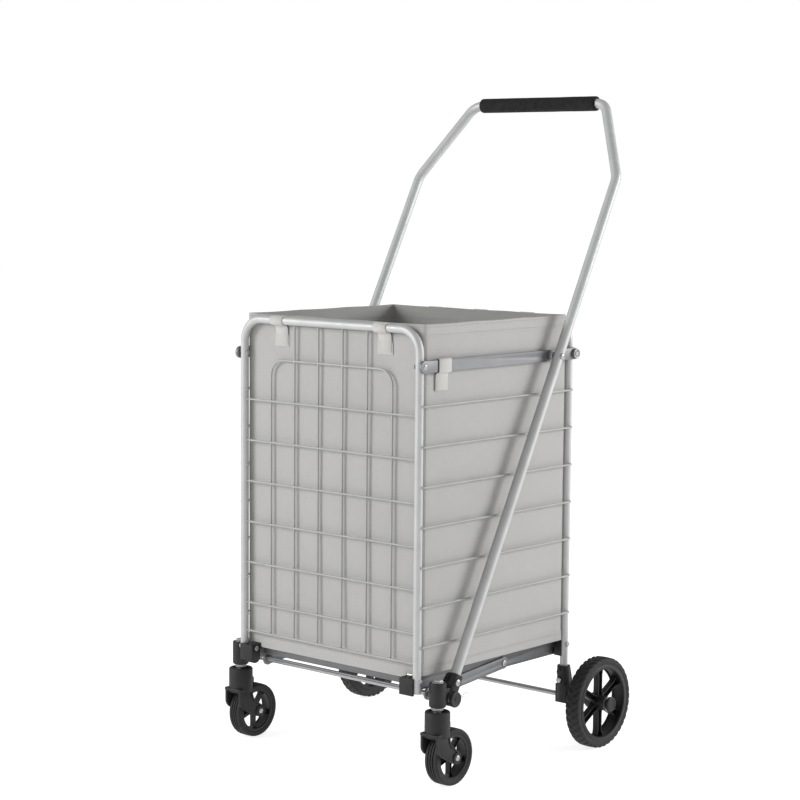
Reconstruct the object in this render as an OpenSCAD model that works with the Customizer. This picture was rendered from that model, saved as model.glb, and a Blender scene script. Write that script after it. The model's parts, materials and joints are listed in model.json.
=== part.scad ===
// Folding rolling basket trolley: wire basket frames, cloth liner, push handle,
// swivelling front casters and large rear wheels. Millimetres, +Z up, front towards -Y.
// Every part is placed from the plane of the front frame, which stands at y = front_y.

/* [Basket] */
// distance between the left and right frame tube centres
basket_w = 360; // [340:1:380]
// distance between the front and rear frame tube centres
basket_d = 362; // [340:1:380]
// height of the top rail centre
frame_top = 677.5; // [650:0.5:700]
// lower end of the front frame tube
frame_foot = 140; // [130:1:150]
// lower end of the rear frame tube
rear_foot = 80; // [76:1:90]
// outer radius of the frame tube
tube_r = 6.35; // [5.5:0.05:7]
// wall of the frame tube
tube_wall = 1.2; // [1:0.1:1.6]
// centre line radius of the frame corners
corner_r = 35; // [30:1:40]

/* [Wires] */
// radius of the basket wire
wire_r = 1.6; // [1.4:0.1:2]
// height of the lowest mesh wire
mesh_low = 184; // [180:1:190]
// height of the second mesh wire
mesh_second = 229; // [225:1:233]
// pitch of the mesh wires above it
mesh_pitch = 64.5; // [60:0.5:66]
// number of horizontal mesh wires
mesh_rows = 7; // [6:1:7]
// height of the hoop wire that closes the mesh
hoop_top = 616; // [610:1:620]
// pitch of the upright mesh wires
upright_pitch = 50; // [45:1:52]
// height of the lowest side wire
side_low = 209.5; // [205:0.5:212]
// pitch of the side wires
side_pitch = 59.45; // [58:0.05:60]
// distance of the side wires from the mid plane
side_x = 189; // [188.5:0.1:190]

/* [Folding linkage] */
// height of the base panel pivots
base_z = 157; // [155:0.5:160]
// height of the side bar pivots
bar_z = 624; // [620:0.5:628]
// distance of the link rivet from the rear pivot, along the rail
link_back = 142; // [138:1:146]
// height of the link rivet
link_z = 147.5; // [145:0.5:149]
// distance of the front cross rod behind the front frame
rod_y = 40; // [38:0.5:42]
// height of the front cross rod
rod_z = 131; // [130:0.5:132]
// radial running clearance of every pivot
run = 0.06; // [0.04:0.01:0.09]

/* [Handle] */
// outer radius of the handle tube
handle_r = 8; // [7.5:0.1:8.5]
// distance of the handle legs from the mid plane
handle_x = 206; // [205:0.5:208]
// lean of the handle away from upright, in degrees
handle_lean = 27.862; // [27:0.001:29]
// length along the leg from the cross rod to its inward bend
leg_bend = 870; // [860:1:880]
// inward lean of the leg above the bend, in degrees
leg_in = 27.3; // [25:0.1:30]
// length along the leg direction from the cross rod to the grip
grip_up = 1006.2; // [1000:0.1:1010]
// outer radius of the foam grip
grip_r = 12.3; // [11:0.1:14]

/* [Wheels] */
// outer radius of the rear tyre
rear_wheel_r = 72.2; // [70:0.1:75]
// width of the rear tyre
rear_wheel_w = 25; // [20:1:26]
// distance of the rear axle behind the front frame
rear_axle_y = 368.5; // [366:0.5:371]
// distance of the inner face of the rear tyre from the mid plane
rear_wheel_x = 231.3; // [231:0.1:236]
// outer radius of the front caster tyre
caster_r = 43; // [40:0.5:45]
// width of the front caster tyre
caster_w = 24; // [20:1:25]
// distance of the swivel axis behind the front frame
stem_y = 17; // [15:0.5:19]
// distance of the caster axle behind the swivel axis
trail = 27; // [25:0.5:29]

/* [Liner] */
// wall of the cloth liner
cloth = 2; // [1.5:0.1:2.5]
// top edge of the liner
liner_top = 685; // [680:1:688]
// underside of the liner
liner_floor = 164.4; // [164.2:0.1:166]
// lower edge of the front skirt
skirt_low = 158; // [150:0.5:160]
// distance of the side walls from the mid plane
liner_x = 183; // [177:0.5:183.5]

/* [Hidden] */
$fn = 64;
// level of the floor; every height above is counted from one millimetre over it
floor_z = -1;
rear_axle_z = rear_wheel_r + floor_z;
caster_z = caster_r + floor_z;
tube_x = basket_w / 2;
stem_x = handle_x;
grip_y = rod_y + grip_up * sin(handle_lean);
// the widest reach forwards is the knuckle face and backwards the grip
knuckle_r = 10;
front_y = -(grip_y + grip_r - knuckle_r) / 2;
pivot_s = (bar_z - rod_z) / cos(handle_lean);
pivot_y = rod_y + pivot_s * sin(handle_lean);
link_y = basket_d - link_back;
rail_x0 = 163;
rail_x1 = 166;
// inner and outer face of the flat side bar
bar_x0 = 187;
bar_x1 = 190;
// inner and outer face of the link
link_x0 = 166.8;
link_x1 = 169.8;
pin_r = 3;
rivet_r = 2.5;
rod_r = 4;
axle_r = 4;
stem_r = 5.5;
// height of the bolt through the rear frame foot
foot_bolt_z = 99;
foot_nut_y = 10.5;
// distance of the clamp bolt above the cross rod, along the leg
clamp_up = 25;
clamp_x0 = 194.6;
clamp_x1 = 215.4;
// distance of each fork arm from the middle of its caster
arm_x = 14.8;
// height of the shoulder where the fork arms leave the stem housing
shoulder_z = 84;

silver = [0.76, 0.77, 0.78];
wire_grey = [0.70, 0.70, 0.70];
zinc = [0.62, 0.63, 0.65];
black = [0.10, 0.10, 0.10];
foam = [0.07, 0.07, 0.07];
cloth_grey = [0.72, 0.71, 0.69];

// ---------- placing ----------

module placed() translate([0, front_y, -floor_z]) children();

module both_sides() {
  children();
  mirror([1, 0, 0]) children();
}

module x_cyl(x0, x1, r) translate([x0, 0, 0]) rotate([0, 90, 0]) cylinder(h = x1 - x0, r = r);

module y_cyl(y0, y1, r) translate([0, y0, 0]) rotate([-90, 0, 0]) cylinder(h = y1 - y0, r = r);

module box(x0, x1, y0, y1, z0, z1) translate([x0, y0, z0]) cube([x1 - x0, y1 - y0, z1 - z0]);

// bend in the XZ plane, starting at the +X side and turning towards +Z
module bend(radius, r, angle) {
  rotate([90, 0, 0]) rotate_extrude(angle = angle) translate([radius, 0]) circle(r = r);
}

// ---------- frames ----------

module u_solid(foot, r) {
  both_sides() {
    translate([tube_x, 0, foot]) cylinder(h = frame_top - corner_r - foot, r = r);
    translate([tube_x - corner_r, 0, frame_top - corner_r]) bend(corner_r, r, 90);
  }
  translate([0, 0, frame_top]) x_cyl(-(tube_x - corner_r), tube_x - corner_r, r);
}

// hollow U tube with its cross holes: side wire ends, side bar rivets and base pins
module u_tube(foot, tail) {
  difference() {
    u_solid(foot, tube_r);
    u_solid(foot - tail, tube_r - tube_wall);
    for (i = [0 : 6]) translate([0, 0, side_low + i * side_pitch])
      x_cyl(-200, 200, wire_r + run);
    translate([0, 0, bar_z]) x_cyl(-200, 200, rivet_r + run);
    translate([0, 0, base_z]) x_cyl(-200, 200, pin_r);
  }
}

// welded wire panel: horizontals at y = across, uprights at y = up
module mesh(across, up) {
  loop_r = 25;
  half = 2.5 * upright_pitch;
  for (i = [0 : mesh_rows - 2]) translate([0, across, mesh_second + i * mesh_pitch])
    x_cyl(-wire_end(across), wire_end(across), wire_r);
  translate([0, across, mesh_low]) x_cyl(-wire_end(across), wire_end(across), wire_r);
  for (i = [-1.5 : 1 : 1.5]) translate([i * upright_pitch, up, mesh_low])
    cylinder(h = frame_top - mesh_low - sqrt(tube_r * tube_r - up * up), r = wire_r);
  both_sides() {
    translate([half, up, mesh_low]) cylinder(h = hoop_top - loop_r - mesh_low, r = wire_r);
    translate([half - loop_r, up, hoop_top - loop_r]) bend(loop_r, wire_r, 90);
  }
  translate([0, up, hoop_top]) x_cyl(-(half - loop_r), half - loop_r, wire_r);
}

// half length of a mesh wire that meets the round of the frame tube
function wire_end(y) = tube_x - sqrt(pow(tube_r, 2) - pow(max(abs(y) - wire_r, 0), 2));

// plastic knuckle that grips half the frame tube and holds the end of a base rail
module knuckle() {
  difference() {
    box(154, tube_x, -knuckle_r, 8, base_z - 19.5, base_z + 6);
    translate([tube_x, 0, 100]) cylinder(h = 100, r = tube_r);
    box(rail_x0 - 0.4, rail_x1 + 0.4, -8, 9, base_z - 24, base_z + 13);
    translate([0, 0, base_z]) x_cyl(150, 190, pin_r);
  }
}

module knuckle_pin() {
  translate([0, 0, base_z]) {
    x_cyl(154, tube_x + tube_r, pin_r);
    x_cyl(152.2, 154, 4);
    x_cyl(tube_x + tube_r, tube_x + tube_r + 1.8, 4.2);
  }
}

module rear_frame_tube() color(silver) placed() translate([0, basket_d, 0]) difference() {
  u_tube(rear_foot, 1);
  translate([0, 0, foot_bolt_z]) both_sides() translate([tube_x, 0, 0]) y_cyl(-12, 12, rivet_r);
}

module front_frame_tube() color(silver) placed() u_tube(frame_foot, 1);

module rear_mesh() color(wire_grey) placed() translate([0, basket_d, 0]) mesh(3, 0.1);

module front_mesh() color(wire_grey) placed() mesh(0, 2.9);

module front_knuckle_right() color(black) placed() knuckle();

module front_knuckle_left() color(black) placed() mirror([1, 0, 0]) knuckle();

module rear_knuckle_right() color(black) placed() translate([0, basket_d, 0])
  mirror([0, 1, 0]) knuckle();

module rear_knuckle_left() color(black) placed() translate([0, basket_d, 0])
  mirror([0, 1, 0]) mirror([1, 0, 0]) knuckle();

module front_pins() color(zinc) placed() both_sides() knuckle_pin();

module rear_pins() color(zinc) placed() translate([0, basket_d, 0]) both_sides() knuckle_pin();

// ---------- rear axle carrier ----------

module wheel_bracket() {
  dy = rear_axle_y - basket_d;
  difference() {
    union() {
      translate([tube_x, basket_d, 66]) cylinder(h = 55.5, r = 10.5);
      rotate([90, 0, 90]) translate([0, 0, 174]) linear_extrude(height = 12)
        polygon([[basket_d, 90], [basket_d + dy + 11, 90], [basket_d + 10, 119], [basket_d, 119]]);
      box(170.5, 191, basket_d - 8.5, basket_d + dy + 11, 62, 92);
      translate([0, rear_axle_y, rear_axle_z]) x_cyl(169, 194, 13);
      for (z = [foot_bolt_z, foot_bolt_z + 13]) translate([tube_x, basket_d, z])
        y_cyl(-12.2, 0, 5);
    }
    translate([tube_x, basket_d, rear_foot]) cylinder(h = 60, r = tube_r);
    translate([0, rear_axle_y, rear_axle_z]) x_cyl(160, 200, axle_r);
    translate([tube_x, basket_d, foot_bolt_z]) {
      y_cyl(-14, 14, rivet_r);
      y_cyl(foot_nut_y, 22, 4.6);
    }
  }
}

module wheel_bracket_right() color(black) placed() wheel_bracket();

module wheel_bracket_left() color(black) placed() mirror([1, 0, 0]) wheel_bracket();

module bracket_bolts() color(zinc) placed() both_sides()
  translate([tube_x, basket_d, foot_bolt_z]) {
    y_cyl(-12.2, foot_nut_y, rivet_r);
    y_cyl(-14.4, -12.2, 4.2);
    y_cyl(foot_nut_y, foot_nut_y + 2.5, 4.2);
  }

module rear_axle() color(zinc) placed() translate([0, rear_axle_y, rear_axle_z])
  x_cyl(-264, 264, axle_r);

module axle_spacers() color(black) placed() translate([0, rear_axle_y, rear_axle_z])
  both_sides() difference() {
    x_cyl(194, 224.6, 7.5);
    x_cyl(190, 230, axle_r);
  }

// ---------- liner ----------

module liner() color(cloth_grey) placed() {
  y0 = 8.6;
  y1 = basket_d - 8.6;
  x = liner_x;
  difference() {
    union() {
      box(-x, x, y0, y1, liner_floor, liner_top);
      box(-152, 152, y0, y0 + cloth, skirt_low, liner_floor);
    }
    box(-x + cloth, x - cloth, y0 + cloth, y1 - cloth, liner_floor + cloth, liner_top + 1);
  }
}

function arc_points(r, from, to, steps) =
  [for (i = [0 : steps]) let (a = from + (to - from) * i / steps) [r * cos(a), r * sin(a)]];

function shifted(points, dy, dz) = [for (p = points) [p[0] + dy, p[1] + dz]];

function backwards(points) = [for (i = [len(points) - 1 : -1 : 0]) points[i]];

// side view of a strap: over the rail, round its front and flat down the cloth behind it
module strap_section(gap, tail_y, tail_low) {
  t = 1.2;
  inner = arc_points(tube_r + 0.1, 60, 285, 12);
  outer = arc_points(tube_r + 0.1 + t, 60, 285, 12);
  reach = tail_y - gap;
  polygon(concat(
    [[reach, outer[0][1]]], outer,
    [[reach - t, tail_low + 14], [reach - t, tail_low], [reach, tail_low]],
    [[reach, tail_low + 16]], backwards(inner), [[reach, inner[0][1]]]
  ));
}

module over_rail_strap(width) {
  rotate([90, 0, 90]) linear_extrude(height = width, center = true)
    strap_section(0, 8.6, -38);
}

module bar_strap() {
  t = 1.2;
  // loop round the flat side bar with a tail sewn to the cloth below
  box(190.3, 190.3 + t, 30, 60, bar_z - 11, bar_z + 11);
  box(185.5, 190.3 + t, 30, 60, bar_z + 9.3, bar_z + 9.3 + t);
  box(liner_x, 190.3 + t, 30, 60, bar_z - 10.7, bar_z - 10.7 + t);
  box(185.5, 185.5 + t, 30, 60, bar_z - 11, bar_z + 9.3 + t);
  box(liner_x, liner_x + t, 31, 59, bar_z - 31, bar_z - 9);
}

module liner_straps() color(cloth_grey) placed() {
  for (x = [-106, 106]) translate([x, 0, frame_top]) over_rail_strap(26);
  for (x = [-96, 0, 96]) translate([x, basket_d, frame_top]) mirror([0, 1, 0])
    over_rail_strap(26);
  both_sides() bar_strap();
}

// ---------- base ----------

module base_rail() {
  difference() {
    union() {
      box(rail_x0, rail_x1, 20, basket_d - 12, base_z - 18, base_z + 7);
      box(rail_x0, rail_x1, 0, basket_d, base_z - 6.8, base_z + 6.8);
      for (y = [0, basket_d]) translate([0, y, base_z]) x_cyl(rail_x0, rail_x1, 7);
    }
    for (y = [0, basket_d]) translate([0, y, base_z]) x_cyl(160, 170, pin_r + run);
    translate([0, link_y, link_z]) x_cyl(160, 170, rivet_r);
  }
}

module base_rail_right() color(zinc) placed() base_rail();

module base_rail_left() color(zinc) placed() mirror([1, 0, 0]) base_rail();

// upright strip across the front or rear whose ends turn back along the rails
module cross_strip() {
  box(-152, 152, 14, 17, 147, 158);
  both_sides() {
    box(149, 152, 14, 37, 147, 158);
    box(152, rail_x0, 34, 37, 150.5, 158);
  }
}

// round bar under the strip, bent back and outwards to meet the rails
module cross_bar() {
  r = 2.4;
  turn = 6;
  x = 150;
  y = 15.5;
  translate([0, y, 141]) {
    x_cyl(turn - x, x - turn, r);
    both_sides() {
      translate([x - turn, turn, 0]) rotate([0, 0, -90])
        rotate_extrude(angle = 90) translate([turn, 0]) circle(r = r);
      translate([x, 0, 0]) y_cyl(turn, 14, r);
      translate([x + turn, 14, 0]) rotate([0, 0, 90])
        rotate_extrude(angle = 90) translate([turn, 0]) circle(r = r);
      translate([0, 14 + turn, 0]) x_cyl(x + turn, rail_x0, r);
    }
  }
}

module base_cross_bars() color(zinc) placed() {
  cross_strip();
  cross_bar();
  translate([0, basket_d - 16, 0]) mirror([0, 1, 0]) {
    cross_strip();
    cross_bar();
  }
}

module base_slats() color(zinc) placed() for (i = [0 : 4])
  box(-rail_x0, rail_x0, 66 + 52 * i, 88 + 52 * i, base_z + 4.5, base_z + 7);

// ---------- side bars and side wires ----------

module side_bar() {
  difference() {
    union() {
      box(bar_x0, bar_x1, 0, basket_d, bar_z - 8.8, bar_z + 8.8);
      for (y = [0, basket_d]) translate([0, y, bar_z]) x_cyl(bar_x0, bar_x1 + 1.5, 9.4);
      box(bar_x1, bar_x1 + 1.5, 0, 27, bar_z - 8.8, bar_z + 8.8);
      box(bar_x1, bar_x1 + 1.5, basket_d - 44, basket_d, bar_z - 8.8, bar_z + 8.8);
    }
    for (y = [0, basket_d]) translate([0, y, bar_z]) x_cyl(186, 193, rivet_r);
    translate([0, pivot_y, bar_z]) x_cyl(186, 193, pin_r);
  }
}

module side_bar_right() color(zinc) placed() side_bar();

module side_bar_left() color(zinc) placed() mirror([1, 0, 0]) side_bar();

module bar_rivets() color(zinc) placed() both_sides() translate([0, 0, bar_z]) {
  x_cyl(171.6, 191.5, rivet_r);
  x_cyl(191.5, 193.3, 4.6);
  x_cyl(171.6, 173.3, 4.4);
}

module bar_knobs() color([0.35, 0.35, 0.36]) placed() both_sides()
  translate([0, basket_d, bar_z]) {
    x_cyl(171.6, 191.5, rivet_r);
    x_cyl(191.5, 193.5, 6);
    x_cyl(193.5, 197, 8.2);
    x_cyl(171.6, 173.3, 4.4);
  }

module pivot_bolts() color(zinc) placed() both_sides() translate([0, pivot_y, bar_z]) {
  x_cyl(bar_x0, 214.3, pin_r);
  x_cyl(184.8, bar_x0, 5.2);
  x_cyl(bar_x1, 197.7, 6.5);
  x_cyl(214.3, 216, 5.2);
}

// side wire whose ends turn inwards through the frame tubes
module side_wire(level) {
  elbow = 2.4;
  translate([0, 0, side_low + level * side_pitch]) both_sides() {
    translate([side_x, 0, 0]) y_cyl(elbow, basket_d - elbow, wire_r);
    for (y = [0, basket_d]) translate([0, y, 0]) x_cyl(171.9, side_x - elbow, wire_r);
    translate([side_x - elbow, elbow, 0]) rotate([0, 0, -90])
      rotate_extrude(angle = 90) translate([elbow, 0]) circle(r = wire_r);
    translate([side_x - elbow, basket_d - elbow, 0])
      rotate_extrude(angle = 90) translate([elbow, 0]) circle(r = wire_r);
  }
}

module side_wires_1() color(wire_grey) placed() side_wire(6);
module side_wires_2() color(wire_grey) placed() side_wire(5);
module side_wires_3() color(wire_grey) placed() side_wire(4);
module side_wires_4() color(wire_grey) placed() side_wire(3);
module side_wires_5() color(wire_grey) placed() side_wire(2);
module side_wires_6() color(wire_grey) placed() side_wire(1);
module side_wires_7() color(wire_grey) placed() side_wire(0);

// ---------- handle ----------

// turns a shape drawn upright in the XZ plane into the leaning plane of the handle
module leaning() translate([0, rod_y, rod_z]) rotate([-handle_lean, 0, 0]) children();

bend_r1 = 40;
bend_r2 = 28;
top_turn = 90 - leg_in;
cut1 = bend_r1 * tan(leg_in / 2);
cut2 = bend_r2 * tan(top_turn / 2);
slope_len = (grip_up - leg_bend) / cos(leg_in) - cut1 - cut2;
grip_half = handle_x - (grip_up - leg_bend) * tan(leg_in) - cut2;

// faint ridge that the bending tool leaves where a bend meets a straight
module bend_mark(r) translate([0, 0, -0.3]) cylinder(h = 0.6, r = r + 0.03);

module handle_solid(r, foot) {
  both_sides() {
    translate([handle_x, 0, foot]) cylinder(h = leg_bend - cut1 - foot, r = r);
    translate([handle_x, 0, leg_bend - cut1]) bend_mark(r);
    translate([handle_x - bend_r1, 0, leg_bend - cut1]) {
      bend(bend_r1, r, leg_in);
      rotate([0, -leg_in, 0]) translate([bend_r1, 0, 0]) {
        bend_mark(r);
        cylinder(h = slope_len, r = r);
        translate([0, 0, slope_len]) bend_mark(r);
        translate([-bend_r2, 0, slope_len]) bend(bend_r2, r, top_turn);
      }
    }
    translate([grip_half, 0, grip_up]) rotate([0, 90, 0]) bend_mark(r);
  }
  translate([0, 0, grip_up]) x_cyl(-grip_half, grip_half, r);
}

module handle_tube() color(silver) placed() leaning() difference() {
  handle_solid(handle_r, -7);
  handle_solid(handle_r - 1.2, -8);
  x_cyl(-230, 230, rod_r);
  translate([0, 0, clamp_up]) x_cyl(-230, 230, pin_r);
  translate([0, 0, pivot_s]) x_cyl(-230, 230, pin_r + run);
}

module handle_grip() color(foam) placed() leaning() translate([0, 0, grip_up]) difference() {
  x_cyl(-grip_half - 1, grip_half + 1, grip_r);
  x_cyl(-grip_half - 2, grip_half + 2, handle_r);
}

// plastic bracket: upright socket for the caster stem and a leaning clamp for the handle leg
module caster_bracket() {
  difference() {
    union() {
      translate([stem_x, stem_y, 121.5]) cylinder(h = 37, r = 13);
      box(198, 213.8, stem_y, rod_y - 2, 123, 149);
      leaning() box(clamp_x0, clamp_x1, -11, 9.6, -6, 37);
      translate([0, rod_y, rod_z]) x_cyl(clamp_x0, clamp_x1, 11.5);
      leaning() box(198, 206, -14, -10, 23, 33);
    }
    translate([stem_x, stem_y, 100]) cylinder(h = 80, r = stem_r);
    leaning() translate([handle_x, 0, -7]) cylinder(h = 70, r = handle_r);
    translate([0, rod_y, rod_z]) x_cyl(190, 220, rod_r);
    leaning() translate([0, 0, clamp_up]) x_cyl(190, 220, pin_r);
  }
}

module caster_bracket_right() color(black) placed() caster_bracket();

module caster_bracket_left() color(black) placed() mirror([1, 0, 0]) caster_bracket();

module clamp_bolts() color(zinc) placed() leaning() both_sides()
  translate([0, 0, clamp_up]) {
    x_cyl(clamp_x0, clamp_x1, pin_r);
    x_cyl(clamp_x0 - 1.7, clamp_x0, 5);
    x_cyl(clamp_x1, clamp_x1 + 2, 5.2);
  }

module front_cross_rod() color(zinc) placed() translate([0, rod_y, rod_z]) difference() {
  x_cyl(-222, 222, rod_r);
  both_sides() translate([217.4, 0, 0]) y_cyl(-10, 10, 1.2);
}

module rod_caps() color(black) placed() translate([0, rod_y, rod_z]) both_sides()
  difference() {
    union() {
      x_cyl(218.9, 222, 12);
      x_cyl(222, 224, 10.5);
    }
    x_cyl(210, 222, rod_r);
  }

module cotter_pins() color(zinc) placed() translate([0, rod_y, rod_z]) both_sides()
  translate([217.4, 0, 0]) {
    y_cyl(-8, 31, 1.2);
    y_cyl(-10, -7, 1.4);
  }

module caster_stems() color(zinc) placed() both_sides() translate([stem_x, stem_y, 0]) {
  translate([0, 0, 90.5]) cylinder(h = 72, r = stem_r);
  translate([0, 0, 117.2]) cylinder(h = 4.3, r = 9);
  translate([0, 0, 158.5]) cylinder(h = 3, r = 8.2, $fn = 6);
}

// ---------- links between the base rails and the cross rod ----------

module link() {
  run_y = link_y - rod_y;
  rise = link_z - rod_z;
  length = sqrt(run_y * run_y + rise * rise);
  translate([0, rod_y, rod_z]) rotate([atan(rise / run_y), 0, 0]) difference() {
    union() {
      box(link_x0, link_x1, 0, length, -8.8, 8.8);
      for (y = [0, length]) translate([0, y, 0]) x_cyl(link_x0, link_x1, 9.3);
    }
    x_cyl(160, 175, rod_r + run);
    translate([0, length, 0]) x_cyl(160, 175, rivet_r);
  }
}

module link_right() color(zinc) placed() link();

module link_left() color(zinc) placed() mirror([1, 0, 0]) link();

module link_rivets() color(zinc) placed() both_sides() translate([0, link_y, link_z]) {
  x_cyl(link_x0, link_x1, rivet_r);
  x_cyl(link_x1, link_x1 + 1.6, 4.6);
}

// ---------- front casters ----------

caster_y = stem_y + trail;

module caster_fork() {
  difference() {
    union() {
      translate([stem_x, stem_y, 77]) cylinder(h = 36.5, r = 19);
      translate([stem_x, stem_y, 113.5]) cylinder(h = 2, r = 17.8);
      box(stem_x - 16.8, stem_x + 16.8, stem_y - 18.5, stem_y + 14, 74, shoulder_z);
      for (x = [stem_x - arm_x, stem_x + arm_x]) {
        translate([x, 0, 0]) fork_arm();
        translate([0, caster_y, caster_z]) x_cyl(x - 2.6, x + 2.6, 9);
      }
      box(stem_x - 6, stem_x + 6, stem_y + 17, stem_y + 24, 86, 97);
    }
    translate([stem_x, stem_y, 90]) cylinder(h = 40, r = stem_r + run);
    translate([stem_x, stem_y, 113.6]) cylinder(h = 10, r = 12.5);
    translate([0, caster_y, caster_z]) {
      x_cyl(stem_x - caster_w / 2 - 1.2, stem_x + caster_w / 2 + 1.2, caster_r + 2);
      x_cyl(stem_x - 30, stem_x + 30, pin_r);
    }
  }
}

// flat side plate from the housing down to the axle
module fork_arm() {
  rotate([90, 0, 90]) linear_extrude(height = 4, center = true)
    polygon([
      [stem_y - 18.5, shoulder_z], [stem_y - 18.5, 60], [stem_y - 14, 52],
      [caster_y - 8.5, caster_z - 7.6], [caster_y, caster_z - 9.6],
      [caster_y + 7.2, caster_z - 6], [caster_y + 9, caster_z + 1.5],
      [caster_y + 6, caster_z + 8], [stem_y + 13, 64], [stem_y + 10, 76],
      [stem_y + 8, 90], [stem_y, 90], [stem_y, shoulder_z]
    ]);
}

module caster_fork_right() color(black) placed() caster_fork();

module caster_fork_left() color(black) placed() mirror([1, 0, 0]) caster_fork();

module caster_axle() {
  translate([0, caster_y, caster_z]) {
    x_cyl(stem_x - 17.4, stem_x + 17.4, pin_r);
    x_cyl(stem_x + 17.4, stem_x + 19.2, 4.4);
    x_cyl(stem_x - 19.2, stem_x - 17.4, 4.4);
  }
}

module caster_axle_right() color(zinc) placed() caster_axle();

module caster_axle_left() color(zinc) placed() mirror([1, 0, 0]) caster_axle();

// tyre with chamfered shoulders and two grooves round the tread
module tyre(r_out, r_in, w, groove) {
  ch = 3;
  rotate([0, 90, 0]) rotate_extrude() polygon([
    [r_in, -w / 2], [r_out - ch, -w / 2], [r_out, -w / 2 + ch * 1.2],
    [r_out, -groove - 0.8], [r_out - 1, -groove], [r_out, -groove + 0.8],
    [r_out, groove - 0.8], [r_out - 1, groove], [r_out, groove + 0.8],
    [r_out, w / 2 - ch * 1.2], [r_out - ch, w / 2], [r_in, w / 2]
  ]);
}

module caster_tyre() translate([stem_x, caster_y, caster_z]) tyre(caster_r, 34, caster_w, 3.4);

module caster_tyre_right() color(foam) placed() caster_tyre();

module caster_tyre_left() color(foam) placed() mirror([1, 0, 0]) caster_tyre();

module ring(x0, x1, r_out, r_in) difference() {
  x_cyl(x0, x1, r_out);
  x_cyl(x0 - 1, x1 + 1, r_in);
}

// spoked caster wheel body
module caster_rim() translate([stem_x, caster_y, caster_z]) difference() {
  union() {
    ring(-10, 10, 34, 30.5);
    x_cyl(-11.6, 11.6, 8);
    for (i = [0 : 4]) rotate([72 * i + 36, 0, 0]) {
      box(-5, 5, -2, 2, 5, 32);
    }
  }
  x_cyl(-20, 20, pin_r + run);
}

module caster_rim_right() color(black) placed() caster_rim();

module caster_rim_left() color(black) placed() mirror([1, 0, 0]) caster_rim();

// ---------- rear wheels ----------

module rear_tyre() translate([rear_wheel_x + rear_wheel_w / 2, rear_axle_y, rear_axle_z])
  tyre(rear_wheel_r, 59.5, rear_wheel_w, 4.5);

module rear_tyre_right() color(foam) placed() rear_tyre();

module rear_tyre_left() color(foam) placed() mirror([1, 0, 0]) rear_tyre();

// six channel spokes between a long hub and the rim
module rear_rim() translate([0, rear_axle_y, rear_axle_z]) difference() {
  x0 = rear_wheel_x + 0.8;
  x1 = rear_wheel_x + rear_wheel_w - 0.8;
  union() {
    ring(x0, x1, 59.5, 55.5);
    x_cyl(225, 262, 12.5);
    for (i = [0 : 5]) rotate([60 * i, 0, 0]) {
      box(x0 + 6, x1 - 7, -6, -3.5, 10, 57);
      box(x0 + 6, x1 - 7, 3.5, 6, 10, 57);
      box(x0 + 7, x0 + 10, -5, 5, 10, 57);
    }
  }
  x_cyl(220, 270, axle_r + run);
}

module rear_rim_right() color(black) placed() rear_rim();

module rear_rim_left() color(black) placed() mirror([1, 0, 0]) rear_rim();

// push-on cap that keeps the wheel on the axle
module hub_cap() translate([0, rear_axle_y, rear_axle_z]) difference() {
  union() {
    x_cyl(262.3, 267, 8);
    x_cyl(267, 271, 11.8);
  }
  x_cyl(260, 264, axle_r);
}

module hub_cap_right() color(black) placed() hub_cap();

module hub_cap_left() color(black) placed() mirror([1, 0, 0]) hub_cap();

rear_frame_tube();
rear_mesh();
rear_knuckle_left();
rear_knuckle_right();
rear_pins();
wheel_bracket_left();
wheel_bracket_right();
bracket_bolts();
rear_axle();
axle_spacers();
liner();
liner_straps();
base_rail_left();
base_rail_right();
base_cross_bars();
base_slats();
front_frame_tube();
front_mesh();
front_knuckle_left();
front_knuckle_right();
front_pins();
side_bar_left();
side_bar_right();
bar_rivets();
bar_knobs();
pivot_bolts();
side_wires_1();
side_wires_2();
side_wires_3();
side_wires_4();
side_wires_5();
side_wires_6();
side_wires_7();
handle_tube();
handle_grip();
caster_bracket_left();
caster_bracket_right();
clamp_bolts();
front_cross_rod();
rod_caps();
cotter_pins();
caster_stems();
link_left();
link_right();
link_rivets();
caster_fork_left();
caster_fork_right();
caster_axle_left();
caster_axle_right();
caster_tyre_left();
caster_tyre_right();
caster_rim_left();
caster_rim_right();
rear_tyre_left();
rear_tyre_right();
rear_rim_left();
rear_rim_right();
hub_cap_left();
hub_cap_right();
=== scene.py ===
"""Rolling basket trolley: the looks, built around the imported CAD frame. Blender 4.5, metres."""

import json
import math

import bmesh
import bpy
from mathutils import Matrix, Vector, noise

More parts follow.
